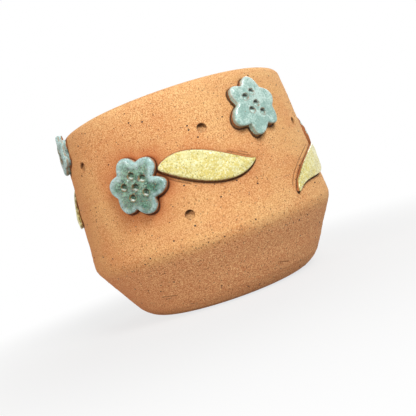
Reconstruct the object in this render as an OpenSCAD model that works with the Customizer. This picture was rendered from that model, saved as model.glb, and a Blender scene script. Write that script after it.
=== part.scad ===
// Small round stoneware planter, thrown on a wheel, with glazed flowers and leaves
// cut from slabs of the same clay and pressed onto its upper wall.
// Millimetres, +Z up. The origin is the centre of the foot's flat underside.
// An azimuth is measured from -Y towards +X, so the photographed side faces -Y.

/* [Pot] */
// Height from the foot to the top of the lip
pot_h = 98; // [88:1:125]
// Outside diameter of the upper wall, carried up to the top of the lip
lip_d = 116.4; // [111:0.2:121]
// Outside diameter of the belly, where the slopes of the two walls meet
belly_d = 126; // [123:1:131]
// Height at which the slopes of the two walls meet
belly_z = 30.5; // [27:0.5:38]
// Outside diameter of the lower wall, carried down to the table
foot_d = 89.6; // [84:0.2:96]
// Thickness of the wall, measured level
wall_t = 6.6; // [6.6:0.1:9]
// Thickness of the floor
floor_t = 7; // [5:0.5:10]
// Diameter of the drain hole through the floor
drain_d = 12; // [8:0.5:16]

/* [Rounded edges] */
// Radius of the lip's outer edge
lip_outer_round = 4.2; // [2:0.2:4.2]
// Radius of the lip's inner edge
lip_inner_round = 1.6; // [0.8:0.2:1.6]
// Radius of the belly
belly_round = 9; // [4:0.5:14]
// Radius of the belly on the inside
belly_inner_round = 7; // [4:0.5:12]
// Radius between the lower wall and the foot
foot_round = 15; // [6:0.5:18]
// Radius between the wall and the floor on the inside
floor_round = 13; // [6:0.5:16]

/* [Flowers] */
// Reach of a petal's tip from the middle of the flower
flower_r = 13.8; // [12:0.1:14.2]
// Reach of a petal's tip on the small flower beside the lip
small_flower_r = 11.3; // [10:0.1:12]
// Thickness of a flower
flower_t = 3.4; // [2.4:0.1:4.4]
// Number of petals
petals = 6; // [5:1:8]
// Gap between a flower and the stalk of a leaf that starts between two of its petals
stalk_gap = 0.5; // [0.4:0.1:2]
// Diameter of a dimple in the middle of a flower
dimple_d = 2.9; // [2:0.1:3.4]
// Diameter of a dimple's floor
dimple_floor_d = 1.5; // [0.8:0.1:1.8]
// Depth of a dimple
dimple_depth = 1.1; // [0.6:0.1:1.4]

/* [Leaves] */
// Length of a leaf
leaf_l = 43.5; // [38:0.5:46]
// Breadth of a leaf
leaf_w = 15; // [12:0.5:17]
// Length of the long leaf at the right
long_leaf_l = 48; // [44:0.5:50]
// Breadth of the long leaf
long_leaf_w = 13.8; // [12:0.2:15]
// Thickness of a leaf
leaf_t = 1.9; // [1.2:0.1:2.6]

/* [Pressed pits] */
// Diameter of a pit pressed into the wall with a round stick
pit_d = 4.3; // [3:0.1:5.5]
// Depth of a pit
pit_depth = 1.7; // [1:0.1:2.5]

/* [Hidden] */

clay = [0.80, 0.57, 0.39];
blue_glaze = [0.45, 0.60, 0.58];
yellow_glaze = [0.90, 0.85, 0.58];

lip_r = lip_d / 2;
belly_r = belly_d / 2;
foot_r = foot_d / 2;
upper_h = pot_h - belly_z;

// How far cutters run past what they cut
overrun = 3;
arc_steps = 8;
curve_steps = 14;

// Radius of the upper wall's outer face at height z
function wall_r(z) = belly_r + (lip_r - belly_r) * (z - belly_z) / upper_h;
// Level width of a layer that is t thick, square to the leaning wall
function level_t(t) = t * norm([upper_h, belly_r - lip_r]) / upper_h;
// Height on the upper wall, from 0 at the belly to 1 at the lip
function wall_z(share) = belly_z + share * upper_h;
// Angle round the pot of a stretch s along its outer face at height z
function arc_angle(s, z) = s / wall_r(z) * 180 / PI;
// Angle round the pot of a straight offset x at height z
function chord_angle(x, z) = asin(x / wall_r(z));

function unit(v) = v / norm(v);
// Arc of radius r that rounds the corner b between points a and c
function corner_arc(a, b, c, r) =
  let (to_a = unit(a - b),
       to_c = unit(c - b),
       half = acos(to_a * to_c) / 2,
       centre = b + unit(to_a + to_c) * r / sin(half),
       first = b + to_a * r / tan(half) - centre,
       last = b + to_c * r / tan(half) - centre,
       from = atan2(first[1], first[0]),
       sweep = atan2(first[0] * last[1] - first[1] * last[0], first * last))
  [for (i = [0 : arc_steps])
     centre + r * [cos(from + sweep * i / arc_steps), sin(from + sweep * i / arc_steps)]];

// A corner is [radius from the axis, height, rounding]
function corner_xy(corner) = [corner[0], corner[1]];
function rounded(corners) =
  [for (i = [0 : len(corners) - 1])
     each corners[i][2] > 0
       ? corner_arc(corner_xy(corners[i - 1]), corner_xy(corners[i]),
                    corner_xy(corners[i + 1]), corners[i][2])
       : [corner_xy(corners[i])]];

// Radius of the lower wall's inner face, carried down to the floor
floor_r = foot_r + (belly_r - foot_r) * floor_t / belly_z - wall_t;
pot_corners = [
  [0, 0, 0],
  [foot_r, 0, foot_round],
  [belly_r, belly_z, belly_round],
  [lip_r, pot_h, lip_outer_round],
  [lip_r - wall_t, pot_h, lip_inner_round],
  [belly_r - wall_t, belly_z, belly_inner_round],
  [floor_r, floor_t, floor_round],
  [0, floor_t, 0]];

// Carries a flat drawing to the wall: x runs round the pot, y up and z straight out
module on_wall(azimuth, z, out = 0)
  rotate([0, 0, azimuth])
    translate([0, -out, z])
      rotate([90, 0, 0])
        children();

// A layer t thick on the outside of the upper wall, which tiles are cut from
module wall_layer(t) {
  low = belly_z;
  high = pot_h + flower_r;
  rotate_extrude($fn = 96)
    polygon([[wall_r(low), low], [wall_r(low) + level_t(t), low],
             [wall_r(high) + level_t(t), high], [wall_r(high), high]]);
}

// A tile t thick: the part of the layer that lies under a flat drawing
module tile(azimuth, z, t)
  intersection() {
    wall_layer(t);
    on_wall(azimuth, z)
      linear_extrude(height = max(wall_r(belly_z), wall_r(pot_h + flower_r)) + t + overrun)
        children();
  }

// Share of a flower's reach that is left in the dip between two petals
dip_share = 0.74;
// How narrow the petals are against the dips between them; 2 is an even wave
petal_power = 1.6;
petal_steps = 12;
function petal_r(reach, angle) =
  reach * (dip_share + (1 - dip_share) * pow(abs(cos(petals * angle / 2)), petal_power));
module petal_outline(reach)
  polygon([for (i = [0 : petals * petal_steps - 1])
             let (angle = i * 360 / (petals * petal_steps))
             petal_r(reach, angle) * [cos(angle), sin(angle)]]);

// Places of the dimples, as shares of the flower's reach: round the pot, then up
ring_dimple_shares = [[0, 0], [-0.04, 0.38], [0.30, 0.20], [-0.39, 0.12],
                      [0.30, -0.25], [-0.19, -0.28]];
loose_dimple_shares = [[0.06, 0.44], [-0.24, 0.32], [0.09, 0.05],
                       [-0.17, -0.13], [0.22, -0.26]];

// A dimple widens evenly from its floor; its cutter goes on as far again past the face
module dimple_cutter()
  cylinder(d1 = dimple_floor_d, d2 = 2 * dimple_d - dimple_floor_d, h = 2 * dimple_depth, $fn = 32);

function turned(v, angle) =
  [v[0] * cos(angle) - v[1] * sin(angle), v[0] * sin(angle) + v[1] * cos(angle)];

// Places of the flowers: azimuth, height as a share of the upper wall, and the angle by which
// the first petal is turned up from the level
front_left_flower_share = [-22.7, 0.459, 49];
front_right_flower_share = [34.1, 0.719, 19];
right_flower_share = [104.5, 0.474, 0];
back_flower_share = [163, 0.74, 33];
back_left_flower_share = [-124, 0.444, 12];
left_flower_share = [-72, 0.88, 30];

// One glazed flower, its dimples turned by spin
module flower(place_share, spin = 0, reach = flower_r, dimple_shares = ring_dimple_shares) {
  azimuth = place_share[0];
  z = wall_z(place_share[1]);
  color(blue_glaze)
    difference() {
      tile(azimuth, z, flower_t)
        rotate(place_share[2])
          petal_outline(reach);
      for (place = [for (share = dimple_shares) turned(share, spin) * reach])
        on_wall(azimuth + arc_angle(place[0], z), z + place[1],
                wall_r(z + place[1]) + level_t(flower_t) - dimple_depth)
          dimple_cutter();
    }
}

// The leaf's two edges, from its stalk to its tip, each a curve with two handles.
// The first share is of the leaf's length and the second of its breadth.
upper_handle_shares = [[0.20, 1.13], [0.84, -0.15]];
lower_handle_shares = [[0.32, -0.55], [0.80, -0.90]];
function edge_point(handles, t) =
  3 * t * pow(1 - t, 2) * handles[0] + 3 * pow(t, 2) * (1 - t) * handles[1] + pow(t, 3) * [1, 0];
leaf_edge_shares = [
  for (i = [0 : curve_steps]) edge_point(upper_handle_shares, i / curve_steps),
  for (i = [curve_steps - 1 : -1 : 1]) edge_point(lower_handle_shares, i / curve_steps)];

// One glazed leaf about its middle, its tip turned up by turn from the level
module leaf(azimuth, z, turn, length = leaf_l, breadth = leaf_w)
  color(yellow_glaze)
    tile(azimuth, z, leaf_t)
      rotate(turn)
        translate([-length / 2, 0])
          polygon([for (share = leaf_edge_shares) [share[0] * length, share[1] * breadth]]);

// A leaf whose stalk lies in a dip of a flower, dips counted on from below the first petal
module leaf_in_dip(place_share, dip, turn) {
  way = place_share[2] + (dip - 1 / 2) * 360 / petals;
  away = flower_r * dip_share + stalk_gap;
  stalk_z = wall_z(place_share[1]) + away * sin(way);
  leaf(place_share[0] + chord_angle(away * cos(way), stalk_z)
         + chord_angle(leaf_l / 2 * cos(turn), stalk_z),
       stalk_z + leaf_l / 2 * sin(turn), turn);
}

// Pits pressed into the wall: azimuth, then height as a share of the upper wall
pit_spot_shares = [[-52, 0.75], [9.4, 0.69], [-6.5, 0.20], [62, 0.58],
              [133, 0.70], [176, 0.22], [-161, 0.64], [-99, 0.80]];

module pot_body()
  color(clay)
    difference() {
      rotate_extrude($fn = 96)
        polygon(rounded(pot_corners));
      translate([0, 0, -overrun])
        cylinder(d = drain_d, h = floor_t + 2 * overrun, $fn = 48);
      for (place = pit_spot_shares)
        on_wall(place[0], wall_z(place[1]), wall_r(wall_z(place[1])) - pit_depth)
          cylinder(d = pit_d, h = pit_depth + overrun, $fn = 32);
    }

module flower_front_left() flower(front_left_flower_share);
module flower_front_right()
  flower(front_right_flower_share, dimple_shares = loose_dimple_shares);
module flower_right() flower(right_flower_share, spin = 50);
module flower_back()
  flower(back_flower_share, spin = 90, dimple_shares = loose_dimple_shares);
module flower_back_left() flower(back_left_flower_share, spin = 200);
module flower_left()
  flower(left_flower_share, reach = small_flower_r, dimple_shares = loose_dimple_shares);

module leaf_front() leaf_in_dip(front_left_flower_share, dip = 0, turn = -10.9);
module leaf_right()
  leaf(azimuth = 61.7, z = wall_z(share = 0.253), turn = 205.3, length = long_leaf_l,
       breadth = long_leaf_w);
module leaf_left() leaf(azimuth = -90, z = wall_z(share = 0.529), turn = -28);
module leaf_back_right() leaf_in_dip(right_flower_share, dip = 1, turn = -14);
module leaf_back_left() leaf_in_dip(back_left_flower_share, dip = 4, turn = 203);

pot_body();
flower_front_left();
flower_front_right();
flower_right();
flower_back();
flower_back_left();
flower_left();
leaf_front();
leaf_right();
leaf_left();
leaf_back_right();
leaf_back_left();
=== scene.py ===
"""Dresses the stoneware planter: thrown clay body, glazed tiles, iron specks and a plain studio.

Sizes and shapes are worked out in millimetres and written to Blender in metres.
An azimuth is measured from -Y towards +X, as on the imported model.
"""

import logging
import math
from dataclasses import dataclass, field
from enum import Enum

import bmesh
import bpy
import numpy as np
from mathutils import Matrix, Vector


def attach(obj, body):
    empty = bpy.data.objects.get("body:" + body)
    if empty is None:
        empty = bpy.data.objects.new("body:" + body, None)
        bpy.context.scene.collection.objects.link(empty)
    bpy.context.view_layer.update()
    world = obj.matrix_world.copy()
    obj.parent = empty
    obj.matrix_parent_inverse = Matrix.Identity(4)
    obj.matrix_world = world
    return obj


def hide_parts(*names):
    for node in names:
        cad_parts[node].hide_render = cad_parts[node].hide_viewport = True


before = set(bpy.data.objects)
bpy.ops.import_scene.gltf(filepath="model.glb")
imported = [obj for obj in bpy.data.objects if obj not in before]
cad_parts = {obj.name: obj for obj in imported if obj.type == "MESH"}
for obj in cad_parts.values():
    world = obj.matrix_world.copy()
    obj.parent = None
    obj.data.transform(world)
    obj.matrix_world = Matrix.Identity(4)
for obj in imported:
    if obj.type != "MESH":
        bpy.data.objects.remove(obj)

LOG = logging.getLogger("planter")
MM = 0.001
BODY = "root"
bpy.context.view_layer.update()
# Stands for any distance that is too large to matter, in millimetres.
FAR = 70.0
PETAL_COUNT = 6
# How far a leaf's stalk stays from the dip between two petals: below 0 it laps the dip.
STALK_GAP = -0.15
# The wall's points are measured against every third point of an outline.
OUTLINE_STEP = 3
# Keeps the draw for the glaze's run apart from the draw for the tile's shape.
RUN_SEED = 50


class Slot(Enum):
    """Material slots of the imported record."""

    CLAY = "clay"
    BLUE = "blue_green_glaze"
    YELLOW = "yellow_glaze"


def screen(red: float, green: float, blue: float) -> tuple[float, float, float, float]:
    """Turn a colour as a screen shows it into a linear one.

    Args:
        red: Red from 0 to 255.
        green: Green from 0 to 255.
        blue: Blue from 0 to 255.

    Returns:
        The linear colour with an alpha of 1.
    """
    channels = []
    for value in (red, green, blue):
        share = value / 255
        channels.append(share / 12.92 if share <= 0.04045 else ((share + 0.055) / 1.055) ** 2.4)
    return (*channels, 1.0)


def smooth_step(low: float, high: float, value: np.ndarray) -> np.ndarray:
    """Go smoothly from 0 at low to 1 at high.

    Args:
        low: Value at which the result is 0.
        high: Value at which the result is 1.
        value: The values to turn.

    Returns:
        The results, between 0 and 1.
    """
    share = np.clip((value - low) / (high - low), 0.0, 1.0)
    return share * share * (3 - 2 * share)


def bell(gap: np.ndarray, width: float) -> np.ndarray:
    """Fall smoothly from 1 at no distance towards 0 beyond a width.

    Args:
        gap: The distances.
        width: The width, in the same unit.

    Returns:
        The results, between 0 and 1.
    """
    return np.exp(-((gap / width) ** 2))


def turned(flat: np.ndarray, degrees: float) -> np.ndarray:
    """Turn rows of x and y anticlockwise by an angle in degrees."""
    turn = math.radians(degrees)
    matrix = np.array([[math.cos(turn), math.sin(turn)], [-math.sin(turn), math.cos(turn)]])
    return flat @ matrix


def around(places: np.ndarray) -> tuple[np.ndarray, np.ndarray]:
    """Distance of points from the pot's axis, and their azimuths in radians."""
    return np.hypot(places[:, 0], places[:, 1]), np.arctan2(places[:, 0], -places[:, 1])


@dataclass(frozen=True)
class Unevenness:
    """Soft handmade unevenness: plane waves with seeded directions and phases."""

    seed: int
    wavelength: float
    height: float
    waves: int = 14

    def at(self, places: np.ndarray) -> np.ndarray:
        """Read the unevenness.

        Args:
            places: Rows of coordinates in millimetres, of two or three columns.

        Returns:
            One height for each row, mostly within plus and minus half of height.
        """
        draw = np.random.default_rng(self.seed)
        way = draw.normal(size=(self.waves, places.shape[1]))
        way /= np.linalg.norm(way, axis=1)[:, None]
        rate = draw.uniform(0.6, 1.5, self.waves) / self.wavelength
        phase = draw.uniform(0, 2 * math.pi, self.waves)
        turns = places @ (way * rate[:, None]).T * 2 * math.pi + phase
        return self.height * np.sin(turns).sum(axis=1) / math.sqrt(2 * self.waves)


def distance_to_line(places: np.ndarray, line: np.ndarray, closed: bool) -> np.ndarray:
    """Measure how far places in a plane are from a line of straight stretches.

    Args:
        places: Rows of x and y.
        line: The line's corners, in order.
        closed: Whether the last corner joins the first.

    Returns:
        One distance for each place.
    """
    ends = np.roll(line, -1, axis=0) if closed else line[1:]
    starts = line if closed else line[:-1]
    nearest = np.full(len(places), np.inf)
    for start, end in zip(starts, ends):
        along = end - start
        share = np.clip((places - start) @ along / max(along @ along, 1e-9), 0.0, 1.0)
        gap = places - start - share[:, None] * along
        nearest = np.minimum(nearest, np.einsum("ij,ij->i", gap, gap))
    return np.sqrt(nearest)


def spread_evenly(line: np.ndarray, count: int) -> np.ndarray:
    """Space points evenly along an open line.

    Args:
        line: The line's points.
        count: Number of points wanted.

    Returns:
        The new points, with the same ends.
    """
    steps = np.linalg.norm(np.diff(line, axis=0), axis=1)
    travel = np.concatenate([[0.0], np.cumsum(steps)])
    wanted = np.linspace(0.0, travel[-1], count)
    return np.column_stack([np.interp(wanted, travel, line[:, k]) for k in (0, 1)])


def soften(line: np.ndarray, spread: float) -> np.ndarray:
    """Round the corners of a closed line of evenly spaced points.

    Args:
        line: The line's points.
        spread: How far the rounding reaches, in millimetres.

    Returns:
        As many points, on the rounded line.
    """
    spacing = np.linalg.norm(np.roll(line, -1, axis=0) - line, axis=1).mean()
    reach = int(3 * spread / spacing) + 1
    offsets = np.arange(-reach, reach + 1)
    weights = np.exp(-0.5 * (offsets * spacing / spread) ** 2)
    weights /= weights.sum()
    return sum(weight * np.roll(line, -int(k), axis=0) for weight, k in zip(weights, offsets))


def ring_faces(order: list[int], count: int) -> list[tuple[int, ...]]:
    """Join closed rings of points by four-sided faces.

    Args:
        order: Numbers of the rings, in the order in which they are joined.
        count: Number of points of each ring.

    Returns:
        Corner numbers of each face.
    """
    faces = []
    for inner, outer in zip(order, order[1:]):
        for i in range(count):
            corners = ((inner, i), (outer, i), (outer, (i + 1) % count), (inner, (i + 1) % count))
            faces.append(tuple(ring * count + point for ring, point in corners))
    return faces


def make_object(name: str, places: np.ndarray, faces: list[tuple[int, ...]]) -> bpy.types.Object:
    """Write a mesh in metres and link it.

    Args:
        name: Name of the piece.
        places: Rows of x, y and z in millimetres.
        faces: Corner numbers of each face.

    Returns:
        The new object, at the origin.
    """
    mesh = bpy.data.meshes.new(name)
    mesh.from_pydata((places * MM).tolist(), [], faces)
    mesh.update()
    piece = bpy.data.objects.new(name, mesh)
    bpy.context.scene.collection.objects.link(piece)
    return piece


def add_attribute(piece: bpy.types.Object, name: str, values: np.ndarray) -> None:
    """Store one number for each point of a mesh.

    Args:
        piece: The mesh object.
        name: Name of the attribute.
        values: One value for each point.
    """
    layer = piece.data.attributes.new(name, "FLOAT", "POINT")
    layer.data.foreach_set("value", np.ascontiguousarray(values, dtype=np.float32))


def read_rows(piece: bpy.types.Object, name: str) -> np.ndarray:
    """Read three numbers of each point of a mesh.

    Args:
        piece: The mesh object.
        name: What to read: co for the places, normal for the normals.

    Returns:
        One row for each point.
    """
    flat = np.empty(len(piece.data.vertices) * 3, dtype=np.float32)
    piece.data.vertices.foreach_get(name, flat)
    return flat.reshape(-1, 3).astype(float)


def read_places(piece: bpy.types.Object) -> np.ndarray:
    """Read a mesh's points as rows of x, y and z in millimetres."""
    return read_rows(piece, "co") / MM


def write_places(piece: bpy.types.Object, places: np.ndarray) -> None:
    """Move a mesh's points.

    Args:
        piece: The mesh object.
        places: Rows of x, y and z in millimetres.
    """
    piece.data.vertices.foreach_set("co", (places * MM).astype(np.float32).ravel())
    piece.data.update()


def read_attribute(piece: bpy.types.Object, name: str) -> np.ndarray:
    """Read a number stored on each point of a mesh.

    Args:
        piece: The mesh object.
        name: Name of the attribute.

    Returns:
        One value for each point.
    """
    values = np.empty(len(piece.data.vertices), dtype=np.float32)
    piece.data.attributes[name].data.foreach_get("value", values)
    return values.astype(float)


def mend_mesh(piece: bpy.types.Object, gap: float) -> None:
    """Merge doubled points, drop flat faces, turn every face outwards and shade it smoothly.

    Args:
        piece: The mesh object.
        gap: Points closer than this, in millimetres, become one.
    """
    shell = bmesh.new()
    shell.from_mesh(piece.data)
    bmesh.ops.remove_doubles(shell, verts=shell.verts, dist=gap * MM)
    bmesh.ops.dissolve_degenerate(shell, edges=shell.edges, dist=gap * MM * 0.1)
    bmesh.ops.recalc_face_normals(shell, faces=shell.faces)
    shell.to_mesh(piece.data)
    shell.free()
    piece.data.shade_smooth()


@dataclass(frozen=True)
class Signal:
    """A node's output that Python arithmetic turns into Math nodes."""

    graph: "NodeBuilder"
    socket: bpy.types.NodeSocket

    def __add__(self, other: "Signal | float") -> "Signal":
        """Add."""
        return self.graph.math("ADD", self, other)

    __radd__ = __add__

    def __sub__(self, other: "Signal | float") -> "Signal":
        """Subtract."""
        return self.graph.math("SUBTRACT", self, other)

    def __rsub__(self, other: float) -> "Signal":
        """Subtract from a number."""
        return self.graph.math("SUBTRACT", other, self)

    def __mul__(self, other: "Signal | float") -> "Signal":
        """Multiply."""
        return self.graph.math("MULTIPLY", self, other)

    __rmul__ = __mul__

    def __pow__(self, power: float) -> "Signal":
        """Raise to a power."""
        return self.graph.math("POWER", self, power)

    def step(self, low: float, high: float) -> "Signal":
        """Go smoothly from 0 at low to 1 at high.

        Args:
            low: Value at which the result is 0.
            high: Value at which the result is 1.

        Returns:
            The result's signal.
        """
        return self.graph.signal(
            "ShaderNodeMapRange",
            "Result",
            {"interpolation_type": "SMOOTHSTEP"},
            {"Value": self, "From Min": low, "From Max": high},
        )

    def at_most(self, other: "Signal | float") -> "Signal":
        """Take the smaller of two."""
        return self.graph.math("MINIMUM", self, other)

    def at_least(self, other: "Signal | float") -> "Signal":
        """Take the larger of two."""
        return self.graph.math("MAXIMUM", self, other)


Value = Signal | bpy.types.NodeSocket | float | tuple


class NodeBuilder:
    """Adds nodes to a tree, of a material, a world or Geometry Nodes."""

    def __init__(self, tree: bpy.types.NodeTree) -> None:
        """Keep the tree that the nodes go into."""
        self.tree = tree

    def feed(self, node: bpy.types.Node, inputs: dict[str | int, Value]) -> None:
        """Set or link inputs of a node.

        Args:
            node: The node.
            inputs: Values, signals or sockets for its inputs, by name or number.
        """
        for key, value in inputs.items():
            source = value.socket if isinstance(value, Signal) else value
            if isinstance(source, bpy.types.NodeSocket):
                self.tree.links.new(source, node.inputs[key])
            else:
                node.inputs[key].default_value = source

    def node(
        self,
        kind: str,
        settings: dict[str, object] | None = None,
        inputs: dict[str | int, Value] | None = None,
    ) -> bpy.types.Node:
        """Add a node.

        Args:
            kind: The node's type.
            settings: Properties, set before the inputs.
            inputs: Values, signals or sockets for its inputs, by name or number.

        Returns:
            The new node.
        """
        made = self.tree.nodes.new(kind)
        for name, setting in (settings or {}).items():
            setattr(made, name, setting)
        self.feed(made, inputs or {})
        return made

    def signal(
        self,
        kind: str,
        output: str | int,
        settings: dict[str, object] | None = None,
        inputs: dict[str | int, Value] | None = None,
    ) -> Signal:
        """Add a node and read one of its outputs.

        Args:
            kind: The node's type.
            output: The output's name or number.
            settings: Properties, set before the inputs.
            inputs: Values, signals or sockets for its inputs, by name or number.

        Returns:
            The output's signal.
        """
        return Signal(self, self.node(kind, settings, inputs).outputs[output])

    def math(self, operation: str, first: Value, second: Value) -> Signal:
        """Add a Math node.

        Args:
            operation: The node's operation.
            first: First value.
            second: Second value.

        Returns:
            Its result.
        """
        return self.signal("ShaderNodeMath", 0, {"operation": operation}, {0: first, 1: second})

    def seen(self) -> Signal:
        """Mask what the camera sees, straight or in a glaze or a glass.

        Returns:
            A signal that is 1 for such rays.
        """
        rays = self.node("ShaderNodeLightPath").outputs
        straight = Signal(self, rays["Is Camera Ray"])
        return straight.at_least(rays["Is Glossy Ray"]).at_least(rays["Is Transmission Ray"])


class ShaderGraph(NodeBuilder):
    """Builds one material's nodes around a Principled shader."""

    def __init__(self, name: str) -> None:
        """Start an empty material.

        Args:
            name: Name of the material.
        """
        self.material = bpy.data.materials.new(name)
        self.material.use_nodes = True
        super().__init__(self.material.node_tree)
        self.tree.nodes.clear()
        self.shader = self.node("ShaderNodeBsdfPrincipled")
        surface = {"Surface": self.shader.outputs["BSDF"]}
        self.output = self.node("ShaderNodeOutputMaterial", None, surface)
        metres = self.signal("ShaderNodeTexCoord", "Object")
        self.place = self.signal(
            "ShaderNodeVectorMath", "Vector", {"operation": "SCALE"}, {0: metres, "Scale": 1 / MM}
        )

    def height(self) -> Signal:
        """Read the height over the foot, in millimetres."""
        return self.signal("ShaderNodeSeparateXYZ", "Z", None, {0: self.place})

    def stretched(self, factors: tuple[float, float, float]) -> Signal:
        """Scale the millimetre place along each axis.

        Args:
            factors: One factor for each axis.

        Returns:
            The scaled place.
        """
        inputs = {0: self.place, 1: factors}
        return self.signal("ShaderNodeVectorMath", "Vector", {"operation": "MULTIPLY"}, inputs)

    def noise(self, size: float, detail: float = 2.0, place: Signal | None = None) -> Signal:
        """Add noise.

        Args:
            size: Size of its patches, in millimetres.
            detail: Number of finer layers.
            place: Coordinates, the millimetre place if left out.

        Returns:
            The noise, around 0.5.
        """
        return self.signal(
            "ShaderNodeTexNoise",
            "Fac",
            {"noise_dimensions": "3D"},
            {"Vector": place or self.place, "Scale": 1 / size, "Detail": detail},
        )

    def wander(self, size: float, detail: float = 2.0) -> Signal:
        """Add noise around 0, half as far as 1 to either side at most."""
        return self.noise(size, detail) - 0.5

    def grains(self, pitch: float) -> tuple[Signal, Signal]:
        """Scatter grains.

        Args:
            pitch: Distance between grains, in millimetres.

        Returns:
            The distance from the nearest grain in millimetres, and a random number for it.
        """
        cells = self.node("ShaderNodeTexVoronoi", None, {"Vector": self.place, "Scale": 1 / pitch})
        number = self.signal("ShaderNodeSeparateColor", 0, None, {0: cells.outputs["Color"]})
        return Signal(self, cells.outputs["Distance"]) * pitch, number

    def attribute(self, name: str) -> Signal:
        """Read a number stored on the mesh, 0 where the mesh has none of that name."""
        return self.signal("ShaderNodeAttribute", "Fac", {"attribute_name": name})

    def mix(self, share: Value, first: Value, second: Value) -> Signal:
        """Mix two colours.

        Args:
            share: Share of the second colour.
            first: First colour.
            second: Second colour.

        Returns:
            The mixed colour.
        """
        return self.signal(
            "ShaderNodeMix",
            2,
            {"data_type": "RGBA", "blend_type": "MIX", "clamp_factor": True},
            {0: share, 6: first, 7: second},
        )

    def dress(self, colour: Value, roughness: Value, bumps: Signal, depth: float) -> None:
        """Feed the Principled shader.

        Args:
            colour: Base colour.
            roughness: Roughness.
            bumps: Height of the fine relief, from 0 to 1.
            depth: Depth of that relief, in millimetres.
        """
        relief = {"Height": bumps, "Strength": 1.0, "Distance": depth * MM}
        normal = self.signal("ShaderNodeBump", "Normal", None, relief)
        inputs = {"Base Color": colour, "Roughness": roughness, "Normal": normal}
        self.feed(self.shader, inputs)


class GeometryTree(NodeBuilder):
    """A Geometry Nodes tree with named inputs that is run once to make a plain mesh."""

    def __init__(self, name: str, inputs: dict[str, str]) -> None:
        """Start a tree.

        Args:
            name: Name of the tree.
            inputs: Kind of each input, such as Float, by the input's name.
        """
        super().__init__(bpy.data.node_groups.new(name, "GeometryNodeTree"))
        face = self.tree.interface
        for label, kind in inputs.items():
            face.new_socket(label, in_out="INPUT", socket_type="NodeSocket" + kind)
        face.new_socket("Geometry", in_out="OUTPUT", socket_type="NodeSocketGeometry")
        self.start = self.node("NodeGroupInput")

    def given(self, label: str) -> Signal:
        """Read an input of the tree."""
        return Signal(self, self.start.outputs[label])

    def shape_of(self, label: str) -> Signal:
        """Read the mesh of the object that an input names."""
        inputs = {"Object": self.given(label)}
        return self.signal("GeometryNodeObjectInfo", "Geometry", None, inputs)

    def finish(self, geometry: Signal, material: Signal) -> None:
        """End the tree in Realize Instances and Set Material.

        Args:
            geometry: The geometry to give out.
            material: The material to set.
        """
        real = self.signal("GeometryNodeRealizeInstances", 0, None, {"Geometry": geometry})
        inputs = {"Geometry": real, "Material": material}
        dressed = self.signal("GeometryNodeSetMaterial", 0, None, inputs)
        self.node("NodeGroupOutput", None, {"Geometry": dressed})

    def run(self, name: str, values: dict[str, object]) -> bpy.types.Object:
        """Run the tree and keep its result as a plain mesh.

        Args:
            name: Name of the piece.
            values: The tree's inputs, by name.

        Returns:
            The piece, with no modifier.
        """
        piece = make_object(name, np.zeros((1, 3)), [])
        modifier = piece.modifiers.new(name, "NODES")
        modifier.node_group = self.tree
        for socket in self.tree.interface.items_tree:
            if socket.in_out == "INPUT" and socket.name in values:
                modifier[socket.identifier] = values[socket.name]
        bpy.context.view_layer.update()
        shown = piece.evaluated_get(bpy.context.evaluated_depsgraph_get())
        mesh = bpy.data.meshes.new_from_object(shown)
        piece.modifiers.clear()
        piece.data = mesh
        mesh.name = name
        return piece


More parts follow.
